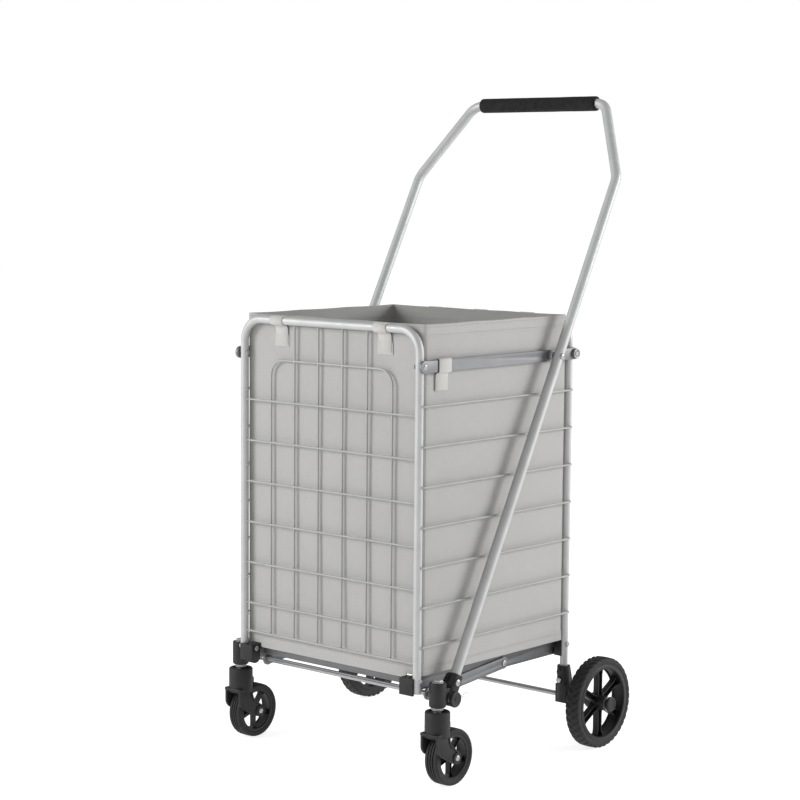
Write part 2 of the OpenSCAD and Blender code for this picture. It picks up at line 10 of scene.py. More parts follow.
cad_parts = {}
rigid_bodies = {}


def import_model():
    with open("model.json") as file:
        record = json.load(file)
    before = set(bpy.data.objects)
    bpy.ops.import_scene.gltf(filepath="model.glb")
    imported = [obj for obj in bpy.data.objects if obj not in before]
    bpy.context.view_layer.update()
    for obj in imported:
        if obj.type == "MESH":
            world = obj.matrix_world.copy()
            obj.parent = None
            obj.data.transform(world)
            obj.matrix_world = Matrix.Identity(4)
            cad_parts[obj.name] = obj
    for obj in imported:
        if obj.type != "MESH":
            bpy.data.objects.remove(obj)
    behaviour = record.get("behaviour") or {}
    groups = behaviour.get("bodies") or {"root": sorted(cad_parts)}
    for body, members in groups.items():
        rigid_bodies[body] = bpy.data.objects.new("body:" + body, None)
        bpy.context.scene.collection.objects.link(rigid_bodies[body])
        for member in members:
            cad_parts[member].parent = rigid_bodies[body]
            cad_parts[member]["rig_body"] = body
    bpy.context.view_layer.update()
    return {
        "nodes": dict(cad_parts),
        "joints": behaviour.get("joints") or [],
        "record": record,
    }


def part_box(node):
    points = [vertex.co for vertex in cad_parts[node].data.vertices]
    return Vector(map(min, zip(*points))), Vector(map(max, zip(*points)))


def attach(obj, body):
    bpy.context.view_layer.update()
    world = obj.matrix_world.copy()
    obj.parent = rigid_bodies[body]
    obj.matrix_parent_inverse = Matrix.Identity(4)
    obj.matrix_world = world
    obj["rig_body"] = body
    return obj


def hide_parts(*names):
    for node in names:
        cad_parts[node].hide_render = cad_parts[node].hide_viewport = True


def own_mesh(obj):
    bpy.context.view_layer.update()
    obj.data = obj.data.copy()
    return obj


for leftover in list(bpy.data.objects):
    bpy.data.objects.remove(leftover)
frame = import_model()
NODES = frame["nodes"]
JOINTS = {joint["name"]: joint for joint in frame["joints"]}
SIDES = (("right", 1), ("left", -1))
MM = 0.001
TURN = 2 * math.pi


# ---------- places taken from the frame, in millimetres ----------

def pivot(joint):
    return Vector(JOINTS[joint]["pos_m"]) / MM


def low(node):
    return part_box(node)[0] / MM


def high(node):
    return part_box(node)[1] / MM


def middle(node):
    return (low(node) + high(node)) / 2


FRONT_Y = pivot("front_fold").y
REAR_Y = pivot("fold").y
TUBE_R = 6.35
LEG_R = 8.0
RAIL_Z = high("front_frame_tube").z - TUBE_R
BAR_Z = pivot("bar_fold").z
LEAN = math.radians(27.862)
ROD = pivot("link_fold")
# heights in the functions below are counted from a zero this far above the floor
ROD_HEIGHT = 131.0
LIFT = ROD.z - ROD_HEIGHT
# radii of the rivets and bolts
RIVET_R = 2.5
PIN_R = 3.0
# radii of the wheel rims under their tyres, and of the bore on the rear axle
REAR_RIM_R = 59.5
CASTER_RIM_R = 34.0
AXLE_BORE = 4.3
# from where to where the rear hub and its cap reach out from the middle
HUB_X = (225.0, 262.0)
CAP_X = (262.3, 271.0)
# outer face of the side bars, and height of the clamp screws up the leg
BAR_FACE = 191.5
CLAMP_UP = 25.0


# ---------- closed shells ----------

def skin(bm, rings, closed=False, caps=True):
    """Quads between rings of equally many points; closed joins the last ring to the first."""
    made = [[bm.verts.new(p) for p in ring] for ring in rings]
    count = len(made[0])
    pairs = list(zip(made, made[1:])) + ([(made[-1], made[0])] if closed else [])
    for a, b in pairs:
        for i in range(count):
            j = (i + 1) % count
            bm.faces.new((a[i], a[j], b[j], b[i]))
    if caps and not closed:
        bm.faces.new(made[0][::-1])
        bm.faces.new(made[-1])
    return made


def placed(bm, part, matrix=Matrix.Identity(4)):
    """Adds a part's shells to bm, moved by matrix."""
    part.transform(matrix)
    mesh = bpy.data.meshes.new("part")
    part.to_mesh(mesh)
    part.free()
    bm.from_mesh(mesh)
    bpy.data.meshes.remove(mesh)


def lathe(profile, segments=64, lift=None):
    """A loop of (along, radius) turned about the X axis. lift(along, radius, turn) raises a radius."""
    bm = bmesh.new()
    rings = []
    for i in range(segments):
        turn = TURN * i / segments
        ring = []
        for along, radius in profile:
            r = radius + (lift(along, radius, turn) if lift else 0)
            ring.append((along, r * math.cos(turn), r * math.sin(turn)))
        rings.append(ring)
    skin(bm, rings, closed=True)
    bmesh.ops.remove_doubles(bm, verts=bm.verts, dist=1e-4)
    return bm


def rounded(points, radius, steps=4):
    """The closed outline with its corners rounded."""
    out = []
    count = len(points)
    for i, p in enumerate(points):
        p = Vector(p)
        before = Vector(points[i - 1]) - p
        after = Vector(points[(i + 1) % count]) - p
        r = radius[i] if isinstance(radius, (list, tuple)) else radius
        cut = min(r, before.length * 0.48, after.length * 0.48)
        if cut < 1e-3:
            out.append(tuple(p))
            continue
        a, b = p + before.normalized() * cut, p + after.normalized() * cut
        for k in range(steps + 1):
            t = k / steps
            out.append(tuple(a * (1 - t) ** 2 + p * 2 * t * (1 - t) + b * t * t))
    return out


def inset(outline, by):
    """The outline moved inwards, corner by corner."""
    area = sum(a[0] * b[1] - b[0] * a[1] for a, b in zip(outline, outline[1:] + outline[:1]))
    sign = 1 if area > 0 else -1
    out = []
    for i, p in enumerate(outline):
        a, b = Vector(outline[i - 1]), Vector(outline[(i + 1) % len(outline)])
        d = b - a
        if d.length < 1e-9:
            out.append(p)
            continue
        out.append((p[0] - sign * d.y / d.length * by, p[1] + sign * d.x / d.length * by))
    return out


def prism(outline, x0, x1, edge=0.5):
    """The (y, z) outline drawn out from x0 to x1, its rims rounded."""
    bm = bmesh.new()
    stations = [(x0, edge), (x0 + edge * 0.3, edge * 0.3), (x0 + edge, 0)]
    stations += [(x1 - edge, 0), (x1 - edge * 0.3, edge * 0.3), (x1, edge)]
    skin(bm, [[(x, y, z) for y, z in inset(outline, e)] for x, e in stations])
    return bm


def block(lo, hi, corner=1.5, edge=0.5):
    """Rounded box between two corners, its long corners along X."""
    y0, z0, y1, z1 = lo[1], lo[2], hi[1], hi[2]
    outline = rounded([(y0, z0), (y1, z0), (y1, z1), (y0, z1)], corner)
    return prism(outline, lo[0], hi[0], edge)


def sleeve(outer, inner, x0, x1, edge=0.5):
    """A tube along X between two outlines with equally many points."""
    bm = bmesh.new()
    rings = []
    for x, e in ((x0, edge), (x0 + edge, 0), (x1 - edge, 0), (x1, edge)):
        rings.append([(x, y, z) for y, z in inset(outer, e)])
    for x in (x1, x0):
        rings.append([(x, y, z) for y, z in inner])
    skin(bm, rings, closed=True)
    return bm


def squircle(half, power, count):
    """Rounded square with half its side given, in polar steps; power 2 makes a circle."""
    out = []
    for i in range(count):
        c, s = math.cos(TURN * i / count), math.sin(TURN * i / count)
        r = half * (abs(c) ** power + abs(s) ** power) ** (-1 / power)
        out.append((r * c, r * s))
    return out


def sweep(path, radius, segments=12):
    """Round bar along a list of points, with rounded ends."""
    bm = bmesh.new()
    points = [Vector(p) for p in path]
    rings = []
    side = None
    for i, p in enumerate(points):
        ahead = points[min(i + 1, len(points) - 1)] - points[max(i - 1, 0)]
        ahead.normalize()
        if side is None:
            side = ahead.orthogonal().normalized()
        side = (side - ahead * side.dot(ahead)).normalized()
        up = ahead.cross(side)

        def ring(centre, r):
            turns = [TURN * k / segments for k in range(segments)]
            return [centre + (side * math.cos(a) + up * math.sin(a)) * r for a in turns]

        nose = ahead * radius * 0.35
        if i == 0:
            rings.append(ring(p - nose, radius * 0.55))
        rings.append(ring(p, radius))
        if i == len(points) - 1:
            rings.append(ring(p + nose, radius * 0.55))
    skin(bm, rings)
    return bm


def ribbon(path, thickness, width, edge=0.25):
    """Flat strap that follows a (y, z) path and is width wide along X."""
    points = [Vector(p) for p in path]
    left, right = [], []
    for i, p in enumerate(points):
        d = points[min(i + 1, len(points) - 1)] - points[max(i - 1, 0)]
        d.normalize()
        n = Vector((-d.y, d.x)) * thickness / 2
        left.append(tuple(p + n))
        right.append(tuple(p - n))
    bm = bmesh.new()
    outline = left + right[::-1]
    rows = []
    half = width / 2
    for x, e in ((-half, edge), (-half + edge, 0), (half - edge, 0), (half, edge)):
        rows.append([(x, y, z) for y, z in inset(outline, e)])
    made = skin(bm, rows, caps=False)
    count = len(outline)
    long = len(left)
    for row, flip in ((made[0], False), (made[-1], True)):
        for i in range(long - 1):
            quad = (row[i], row[i + 1], row[count - 2 - i], row[count - 1 - i])
            bm.faces.new(quad if flip else quad[::-1])
    return bm


def hexagon(radius, x0, x1, edge):
    """Six-sided nut or bolt head along X."""
    corners = [(radius * math.cos(TURN * i / 6), radius * math.sin(TURN * i / 6)) for i in range(6)]
    return prism(corners, x0, x1, edge)


def shaft(x0, x1, radius, segments):
    """Plain round bar along X."""
    return lathe([(x0, 0), (x0, radius), (x1, radius), (x1, 0)], segments)


def dome(x0, x1, radius, dimple=0.0):
    """Rivet or screw head: flat at x0, domed towards x1, with an optional dimple."""
    rise = x1 - x0
    profile = [(x0, 0), (x0, radius)]
    for k in range(1, 6):
        t = k / 6
        profile.append((x0 + rise * math.sin(t * math.pi / 2), radius * math.cos(t * math.pi / 2)))
    if dimple:
        profile = [p for p in profile if p[1] > dimple or p[1] == 0]
        profile += [(x1 - rise * 0.05, dimple), (x1 - rise * 0.5, dimple * 0.7), (x1 - rise * 0.5, 0)]
    else:
        profile.append((x1, 0))
    return lathe(profile, 32)


AXIS_Z = Matrix.Rotation(-math.pi / 2, 4, "Y")
TURNED_BACK = Matrix.Rotation(math.pi, 4, "Z")


def at(x, y, z):
    return Matrix.Translation((x, y, z))


LEANING = at(0, ROD.y, ROD.z) @ Matrix.Rotation(-LEAN, 4, "X")


def to_side(sign):
    """Leaves a shape on the right, or mirrors it to the left."""
    return Matrix.Scale(-1, 4, (1, 0, 0)) if sign < 0 else Matrix.Identity(4)


# ---------- pieces ----------

def piece(name, bm, material, body, replaces=(), mirror=False, sharp=34):
    """Makes the Blender object in metres and puts it on its CAD body."""
    if mirror:
        bmesh.ops.scale(bm, vec=(-1, 1, 1), verts=bm.verts)
    bmesh.ops.recalc_face_normals(bm, faces=bm.faces)
    bmesh.ops.scale(bm, vec=(MM, MM, MM), verts=bm.verts)
    mesh = bpy.data.meshes.new(name)
    bm.to_mesh(mesh)
    bm.free()
    mesh.polygons.foreach_set("use_smooth", [True] * len(mesh.polygons))
    mesh.set_sharp_from_angle(angle=math.radians(sharp))
    obj = bpy.data.objects.new(name, mesh)
    bpy.context.scene.collection.objects.link(obj)
    mesh.materials.append(material)
    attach(obj, body)
    if replaces:
        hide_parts(*replaces)
    return obj


def softened(node, material, width):
    """A copy of a CAD node with its sharp edges rounded, shown in its place."""
    source = NODES[node]
    bm = bmesh.new()
    bm.from_mesh(source.data)
    bmesh.ops.scale(bm, vec=(1 / MM,) * 3, verts=bm.verts)
    bmesh.ops.remove_doubles(bm, verts=bm.verts, dist=1e-3)
    bmesh.ops.dissolve_limit(bm, angle_limit=math.radians(0.6), verts=bm.verts, edges=bm.edges)
    sharp = [e for e in bm.edges if len(e.link_faces) == 2 and e.calc_face_angle(0) > math.radians(40)]
    bmesh.ops.bevel(bm, geom=sharp, offset=width, offset_type="OFFSET", segments=2, profile=0.5,
                    affect="EDGES", clamp_overlap=True)
    bmesh.ops.remove_doubles(bm, verts=bm.verts, dist=1e-4)
    return piece(node + "_rounded", bm, material, source["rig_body"], (node,))


# ---------- materials ----------

class Shader:
    """A procedural material around one Principled shader."""

    def __init__(self, name, color, roughness, metallic=0.0, **sockets):
        self.material = bpy.data.materials.new(name)
        self.material.use_nodes = True
        self.tree = self.material.node_tree
        self.principled = self.tree.nodes["Principled BSDF"]
        self.set(self.principled, {"Base Color": (*color, 1), "Roughness": roughness, "Metallic": metallic})
        self.set(self.principled, sockets)
        self.color = color
        coordinates = self.tree.nodes.new("ShaderNodeTexCoord")
        self.object_space = coordinates.outputs["Object"]
        self.height = None

    @staticmethod
    def set(node, values):
        for key, value in values.items():
            node.inputs[key.replace("_", " ")].default_value = value

    def add(self, kind, links=None, **values):
        node = self.tree.nodes.new("ShaderNode" + kind)
        for key, value in values.items():
            if hasattr(node, key):
                setattr(node, key, value)
            else:
                node.inputs[key.replace("_", " ")].default_value = value
        for key, socket in (links or {}).items():
            self.tree.links.new(socket, node.inputs[key])
        return node

    def stretched(self, scale):
        node = self.add("Mapping", {"Vector": self.object_space})
        node.inputs["Scale"].default_value = scale
        return node.outputs["Vector"]

    def noise(self, scale, detail=3.0, where=None):
        links = {"Vector": where or self.object_space}
        return self.add("TexNoise", links, Scale=scale, Detail=detail).outputs["Fac"]

    def math(self, operation, a, b):
        node = self.add("Math", operation=operation)
        for socket, value in zip(node.inputs, (a, b)):
            if isinstance(value, (int, float)):
                socket.default_value = value
            else:
                self.tree.links.new(value, socket)
        return node.outputs[0]

    def spread(self, factor, low_value, high_value):
        node = self.add("MapRange", {"Value": factor})
        node.inputs["From Min"].default_value = 0.3
        node.inputs["From Max"].default_value = 0.7
        node.inputs["To Min"].default_value = low_value
        node.inputs["To Max"].default_value = high_value
        return node.outputs["Result"]

    def tone(self, factor, dark, light, over=None):
        """Multiplies the base colour by something between dark and light, by factor."""
        mix = self.add("Mix", data_type="RGBA", blend_type="MULTIPLY")
        mix.inputs[0].default_value = 1.0
        if over is None:
            mix.inputs[6].default_value = (*self.color, 1)
        else:
            self.tree.links.new(over, mix.inputs[6])
        self.tree.links.new(self.spread(factor, dark, light), mix.inputs[7])
        self.tree.links.new(mix.outputs[2], self.principled.inputs["Base Color"])
        return mix.outputs[2]

    def rough(self, factor, low_value, high_value):
        self.tree.links.new(self.spread(factor, low_value, high_value), self.principled.inputs["Roughness"])

    def bump(self, height, distance, strength=1.0):
        links = {"Height": height}
        if self.height is not None:
            links["Normal"] = self.height
        node = self.add("Bump", links)
        node.inputs["Strength"].default_value = strength
        node.inputs["Distance"].default_value = distance
        self.height = node.outputs["Normal"]
        self.tree.links.new(self.height, self.principled.inputs["Normal"])


def paint_material(name, color, metallic, roughness):
    """Powder coat: fine orange peel, faint mottling and slightly rubbed patches."""
    s = Shader(name, color, roughness, metallic)
    s.tone(s.noise(35, 4), 0.94, 1.04)
    s.rough(s.noise(120, 3), roughness - 0.05, roughness + 0.07)
    s.bump(s.noise(1400, 2), 0.00012, 0.35)
    s.bump(s.noise(260, 3), 0.0002, 0.15)
    return s.material


def zinc_material(name, color, roughness, grain=(25, 900, 900)):
    """Plated steel with rolling grain and cloudy spangle."""
    s = Shader(name, color, roughness, 0.8)
    streaks = s.noise(1.0, 3, s.stretched(grain))
    cloud = s.noise(45, 3)
    first = s.tone(streaks, 0.95, 1.04)
    s.tone(cloud, 0.95, 1.04, over=first)
    s.rough(streaks, roughness - 0.07, roughness + 0.1)
    s.bump(streaks, 0.0001, 0.25)
    return s.material


def plastic_material(name, color, roughness, grain=1500.0, depth=0.00015):
    """Injection moulding with a spark-eroded grain."""
    s = Shader(name, color, roughness, 0.0, Specular_IOR_Level=0.3)
    s.tone(s.noise(60, 3), 0.85, 1.2)
    s.rough(s.noise(300, 3), roughness - 0.06, roughness + 0.08)
    s.bump(s.noise(grain, 2), depth, 0.4)
    return s.material


def foam_material():
    """Closed cell foam sleeve: small pits and a dusty tone."""
    s = Shader("foam_sleeve", (0.010, 0.010, 0.011), 0.88, 0.0, Specular_IOR_Level=0.25)
    cells = s.add("TexVoronoi", {"Vector": s.object_space}, Scale=900.0).outputs["Distance"]
    s.tone(s.noise(90, 4), 0.75, 1.5)
    s.rough(s.noise(200, 2), 0.8, 0.95)
    s.bump(cells, 0.0004, 0.5)
    return s.material


def cloth_material(name, color, weave=0.0011):
    """Plain weave: two sets of crossing threads, slubs, and a soft sheen."""
    s = Shader(name, color, 0.86, 0.0, Sheen_Weight=0.15, Sheen_Roughness=0.5)
    x, y, z = s.add("SeparateXYZ", {"Vector": s.object_space}).outputs

    def threads(value):
        return s.math("SINE", s.math("MULTIPLY", value, TURN / weave), 0)

    over = s.math("MULTIPLY", threads(s.math("ADD", x, y)), threads(z))
    slub = s.noise(1.0, 2, s.stretched((60, 60, 1400)))
    slub_across = s.noise(1.0, 2, s.stretched((1400, 1400, 60)))
    uneven = s.math("ADD", slub, slub_across)
    half = s.math("MULTIPLY", uneven, 0.5)
    first = s.tone(half, 0.95, 1.04)
    second = s.tone(over, 0.985, 1.01, over=first)
    s.tone(s.noise(9, 3), 0.975, 1.015, over=second)
    s.bump(over, 0.00025, 0.5)
    s.bump(half, 0.0004, 0.3)
    return s.material


SILVER = paint_material("silver_powder_coat", (0.45, 0.453, 0.455), 0.3, 0.5)
WIRE = paint_material("grey_wire_coat", (0.35, 0.35, 0.345), 0.2, 0.6)
FLAT_STEEL = zinc_material("zinc_strip", (0.195, 0.197, 0.202), 0.55)
RAIL_STEEL = zinc_material("zinc_rail", (0.15, 0.152, 0.155), 0.5)
HARDWARE = zinc_material("zinc_hardware", (0.40, 0.40, 0.41), 0.40, (600, 600, 600))
DARK_HARDWARE = zinc_material("dark_plated_nut", (0.28, 0.28, 0.285), 0.42, (600, 600, 600))
PLASTIC = plastic_material("black_moulding", (0.014, 0.014, 0.0145), 0.50)
WHEEL_PLASTIC = plastic_material("wheel_moulding", (0.011, 0.011, 0.0115), 0.46, 1100.0)
RUBBER = plastic_material("tread_rubber", (0.016, 0.016, 0.0165), 0.66, 800.0, 0.0003)
FOAM = foam_material()
CLOTH = cloth_material("liner_weave", (0.392, 0.388, 0.379))
# darker copy of the liner cloth: painted shade for the inside of the bag
PAINTED_SHADE_CLOTH = cloth_material("liner_painted_shade", (0.35, 0.347, 0.335))
STRAP_CLOTH = cloth_material("strap_weave", (0.50, 0.493, 0.475), 0.0008)
THREAD = cloth_material("sewing_thread", (0.36, 0.355, 0.34), 0.0004)

BY_SLOT = {
    "tube_paint": SILVER,
    "wire_paint": WIRE,
    "flat_steel": FLAT_STEEL,
    "hardware": HARDWARE,
    "dark_hardware": DARK_HARDWARE,
    "black_plastic": PLASTIC,
    "wheel_plastic": WHEEL_PLASTIC,
    "tyre_rubber": RUBBER,
    "grip_foam": FOAM,
    "liner_cloth": CLOTH,
}
for row in frame["record"]["subparts"]:
    cad = NODES[row["node"]]
    cad.data.materials.clear()
    cad.data.materials.append(BY_SLOT[row["material_slot"]])


# ---------- cloth liner ----------

LINER_X = high("liner").x
LINER_FRONT = low("liner").y
LINER_REAR = high("liner").y
LINER_MIDDLE = (LINER_REAR + LINER_FRONT) / 2
LINER_TOP = high("liner").z
LINER_FLOOR = high("base_slats").z + 0.6
LINER_HEIGHT = LINER_TOP - LINER_FLOOR
SKIRT_LOW = low("liner").z
# the cloth stays this far inside its box at the sides, and at the front and rear
SIDE_GAP = 1.0
END_GAP = 0.6
CORNER = 4.5
STEP = 8.0


def liner_loop():
    """Points round the liner, seen from above: (x, y, outward x, outward y, wall length share)."""
    hx = LINER_X - SIDE_GAP
    hy = (LINER_REAR - LINER_FRONT) / 2 - END_GAP
    walls = [
        ((-hx, -hy), (1, 0), hx, (0, -1)),
        ((hx, -hy), (0, 1), hy, (1, 0)),
        ((hx, hy), (-1, 0), hx, (0, 1)),
        ((-hx, hy), (0, -1), hy, (-1, 0)),
    ]
    out = []
    for start, way, half, outward in walls:
        straight = 2 * half - 2 * CORNER
        count = round(straight / STEP)
        for i in range(count + 1):
            d = CORNER + straight * i / count
            out.append((start[0] + way[0] * d, start[1] + way[1] * d + LINER_MIDDLE, *outward, i / count))
        cx, cy = (start[k] + way[k] * (2 * half - CORNER) - outward[k] * CORNER for k in (0, 1))
        for i in range(1, 3):
            a = i / 3 * math.pi / 2
            nx, ny = (outward[k] * math.cos(a) + way[k] * math.sin(a) for k in (0, 1))
            out.append((cx + nx * CORNER, cy + ny * CORNER + LINER_MIDDLE, nx, ny, 0.0))
    return out


def slack(x, y, z, share):
    """How far the cloth stands out of its flat wall, in millimetres."""
    height = (z - LINER_FLOOR) / LINER_HEIGHT
    belly = math.sin(math.pi * min(max(share, 0), 1)) * math.sin(math.pi * min(max(height, 0), 1)) ** 0.7
    rumple = noise.noise(Vector((x * 0.009, y * 0.009, z * 0.004)) + Vector((3, 7, 1)))
    fine = noise.noise(Vector((x * 0.03, y * 0.03, z * 0.011)) + Vector((11, 2, 5)))
    free = 0.35 + 0.65 * height
    return 1.4 * belly + 1.5 * rumple * free * (0.3 + belly) + 0.45 * fine


def dip(share, height):
    """How far the top edge hangs below its strap points."""
    return 0.7 * abs(math.sin(3 * math.pi * share)) * max(0.0, height - 0.8) / 0.2


def liner_ring(z, out):
    """Points round the cloth at one height, out outside its outer face."""
    height = (z - LINER_FLOOR) / LINER_HEIGHT
    points = []
    for x, y, nx, ny, share in liner_loop():
        e = slack(x, y, z, share) + out
        points.append((x + nx * e, y + ny * e, z - dip(share, height)))
    return points


def floor_rings(bm, edge, z, up):
    """Closes the bag's foot inwards from its edge, in shrinking rings."""
    count = len(edge)
    previous = edge
    for shrink in (0.985, 0.93, 0.8, 0.6, 0.4, 0.2):
        ring = []
        for v in edge:
            x = v.co.x * shrink
            y = LINER_MIDDLE + (v.co.y - LINER_MIDDLE) * shrink
            wave = 0.8 * noise.noise(Vector((x * 0.014, y * 0.014, 4)))
            ring.append(bm.verts.new((x, y, z + abs(wave) * (1 - shrink) * 2)))
        for i in range(count):
            j = (i + 1) % count
            quad = (previous[i], previous[j], ring[j], ring[i])
            bm.faces.new(quad if up else quad[::-1])
        previous = ring
    hub = bm.verts.new((0, LINER_MIDDLE, z))
    for i in range(count):
        tri = (previous[i], previous[(i + 1) % count], hub)
        bm.faces.new(tri if up else tri[::-1])


def liner_shell(outwards, thickness, z0, z1, rows, floor=False):
    """Cloth wall from z0 to z1, thickness thick, closed by a floor if it has one."""
    levels = [z0 + (z1 - z0) * i / rows for i in range(rows + 1)]
    outer = [liner_ring(z, outwards) for z in levels]
    inner = [liner_ring(z, outwards - thickness) for z in levels[::-1]]
    fold = Vector((0, 0, thickness * 0.35))
    rim = [(Vector(a) + Vector(b)) / 2 + fold for a, b in zip(outer[-1], inner[0])]
    bm = bmesh.new()
    made = skin(bm, outer + [rim] + inner, closed=not floor, caps=False)
    if floor:
        floor_rings(bm, made[0], z0, False)
        floor_rings(bm, made[-1], z0 + thickness, True)
    return bm


def stitches(bm, path, pitch=4.2, length=2.8, radius=0.28):
    """A row of sewn stitches: short rounded threads along a list of points."""
    points = [Vector(p) for p in path]
    travelled = 0.0
    due = pitch
    for a, b in zip(points, points[1:]):
        step = (b - a).length
        if step < 1e-6:
            continue
        way = (b - a) / step
        while travelled + step >= due:
            p = a + way * (due - travelled)
            thread = [p + way * length * share for share in (-0.5, -0.25, 0.25, 0.5)]
            placed(bm, sweep(thread, radius, 5))
            due += pitch
        travelled += step


def make_bag():
    """The bag with its hemmed top edge and a doubled band round its foot."""
    cloth = 1.2
    bag_top = LINER_TOP - 0.8
    bm = liner_shell(0.0, cloth, LINER_FLOOR, bag_top, round((bag_top - LINER_FLOOR) / STEP), floor=True)
    placed(bm, liner_shell(0.55, 2.3, LINER_TOP - 19, LINER_TOP - 0.2, 4))
    placed(bm, liner_shell(0.45, 0.5, LINER_FLOOR + 0.4, LINER_FLOOR + 13, 2))
    return piece("liner_bag", bm, CLOTH, "rear_frame", ("liner",), sharp=50)


def make_skirt():
    """Strip of cloth that hangs over the front edge of the base."""
    half = 152
    columns = 40
    top = LINER_FLOOR + 6
    rings = []
    for k in range(5):
        z = top - (top - SKIRT_LOW) * k / 4
        outer = []
        for i in range(columns + 1):
            x = -half + 2 * half * i / columns
            bend = 0.5 * noise.noise(Vector((x * 0.02, 1, z * 0.02)))
            outer.append((x, LINER_FRONT + 0.4 + bend, z))
        inner = [(x, y + 1.5, z) for x, y, z in outer]
        rings.append(outer + inner[::-1])
    bm = bmesh.new()
    skin(bm, rings)
    return piece("liner_skirt", bm, CLOTH, "rear_frame", sharp=50)


def corner_seam(sx, end_y, out_y, around):
    """Points up one corner of the bag, a share of the way round its bend."""
    a = around * math.pi / 2
    cx = sx * (LINER_X - SIDE_GAP - CORNER + CORNER * math.cos(a))
    cy = end_y - out_y * (END_GAP + CORNER - CORNER * math.sin(a))
    line = []
    for k in range(61):
        z = LINER_FLOOR + 14 + (LINER_HEIGHT - 34) * k / 60
        e = slack(cx, cy, z, 0.0) + 0.12
        line.append((cx + sx * math.cos(a) * e, cy + out_y * math.sin(a) * e, z))
    return line


def make_stitching():
    """Rows of thread round the hem and the foot, and two up each corner."""
    bm = bmesh.new()
    for z, out in ((LINER_TOP - 15.5, 0.7), (LINER_TOP - 3.5, 0.7), (LINER_FLOOR + 11, 0.55)):
        ring = liner_ring(z, out)
        stitches(bm, ring + ring[:1])
    for sx in (-1, 1):
        for end_y, out_y in ((LINER_FRONT, -1), (LINER_REAR, 1)):
            for around in (0.12, 0.88):
                seam = corner_seam(sx, end_y, out_y, around)
                stitches(bm, seam)
    return piece("liner_stitching", bm, THREAD, "rear_frame", sharp=60)


def paint_shade_inside(bag):
    """Gives the faces that look into the bag, its walls and floor, a darker copy of the cloth: painted shade
    inside the bag.
    """
    bag.data.materials.append(PAINTED_SHADE_CLOTH)
    centre = Vector((0, LINER_MIDDLE)) * MM
    for face in bag.data.polygons:
        # faces looking into the bag and the top of its floor get the painted shade
        inward = (centre - face.center.xy).dot(face.normal.xy) > 0.02
        floor = face.normal.z > 0.5 and face.center.z < (LINER_FLOOR + 20) * MM
        if inward or floor:
            face.material_index = 1


# ---------- straps ----------

def sewn(bm, lines, matrix):
    """Rows of fine stitches along straight lines, moved by matrix."""
    for line in lines:
        part = bmesh.new()
        stitches(part, line, 2.6, 1.9, 0.22)
        placed(bm, part, matrix)


def rail_strap_path(tail):
    """Side view of a strap round a rail of the frame, y towards the liner, from the rail's centre."""
    r = TUBE_R + 0.8
    path = [(7.2, -6), (7.4, 1), (6.4, 4.4)]
    for k in range(1, 15):
        a = math.radians(50 + (300 - 50) * k / 15)
        path.append((r * math.cos(a), r * math.sin(a)))
    path += [(5.0, -8.2), (6.6, -11.5), (7.3, -15.5), (7.45, -20)]
    path += [(7.5, -20 - (tail - 20) * k / 4) for k in range(1, 5)]
    return path


def make_rail_strap(name, matrix, width=26, tail=37.0):
    """Strap over a rail, its tail sewn down with a crossed box of stitches."""
    bm = bmesh.new()
    placed(bm, ribbon(rail_strap_path(tail), 1.15, width), matrix)
    x = width / 2 - 2.2
    y, z0, z1 = 6.8, -tail + 2, -tail + 15
    seams = [((-x, z0), (-x, z1)), ((x, z0), (x, z1)), ((-x, z0), (x, z0)), ((-x, z1), (x, z1))]
    seams += [((-x, z0), (x, z1)), ((x, z0), (-x, z1))]
    sewn(bm, [[(xa, y, za), (xb, y, zb)] for (xa, za), (xb, zb) in seams], matrix)
    return piece(name, bm, STRAP_CLOTH, "rear_frame", sharp=50)


def bar_strap_path():
    """Section of a strap round a flat side bar, from the bar's centre: (x outwards, z)."""
    outline = [(-4.6, -37), (-4.6, -28), (-4.6, -19), (-4.4, -14.2), (-2.9, -11.4), (-0.4, -10.2)]
    outline += [(1.9, -9.9), (2.75, -8.8), (2.8, -4), (2.8, 0), (2.8, 5), (2.75, 9.0), (1.9, 10.1)]
    outline += [(0.0, 10.4), (-2.4, 10.1), (-3.2, 9.0), (-3.3, 4), (-3.3, -2), (-3.4, -8.4)]
    return outline


def make_bar_strap(name, sign):
    """Strap round a side bar, its tail sewn down with a box of stitches."""
    bm = bmesh.new()
    swap = Matrix(((0, 1, 0, 0), (1, 0, 0, 0), (0, 0, 1, 0), (0, 0, 0, 1)))
    place = at(188.5, FRONT_Y + 45, BAR_Z) @ swap
    placed(bm, ribbon(bar_strap_path(), 1.1, 28), place)
    x, y, z0, z1 = 11.5, -3.95, -35, -24
    seams = [((-x, z0), (x, z0)), ((-x, z1), (x, z1)), ((-x, z0), (-x, z1)), ((x, z0), (x, z1))]
    sewn(bm, [[(xa, y, za), (xb, y, zb)] for (xa, za), (xb, zb) in seams], place)
    return piece(name, bm, STRAP_CLOTH, "rear_frame", mirror=sign < 0, sharp=50)


def make_patches(places):
    """Reinforcing patches sewn to the cloth behind the tails of the straps."""
    bm = bmesh.new()
    for place in places:
        placed(bm, block((-15, 8.0, -40), (15, 8.7, -22), 0.3, 0.3), place)
    return piece("liner_patches", bm, STRAP_CLOTH, "rear_frame", sharp=50)


liner = make_bag()
skirt = make_skirt()
liner_thread = make_stitching()
paint_shade_inside(liner)
front_places = [at(x, FRONT_Y, RAIL_Z) for x in (-106, 106)]
rear_places = [at(x, REAR_Y, RAIL_Z) @ TURNED_BACK for x in (-96, 0, 96)]
straps = []
for end, places in (("front", front_places), ("rear", rear_places)):
    for number, place in enumerate(places):
        straps.append(make_rail_strap(f"{end}_strap_{number + 1}", place))
for side, sign in SIDES:
    straps.append(make_bar_strap(f"side_strap_{side}", sign))
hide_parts("liner_straps")
liner_patches = make_patches(front_places + rear_places)


# ---------- grip ----------

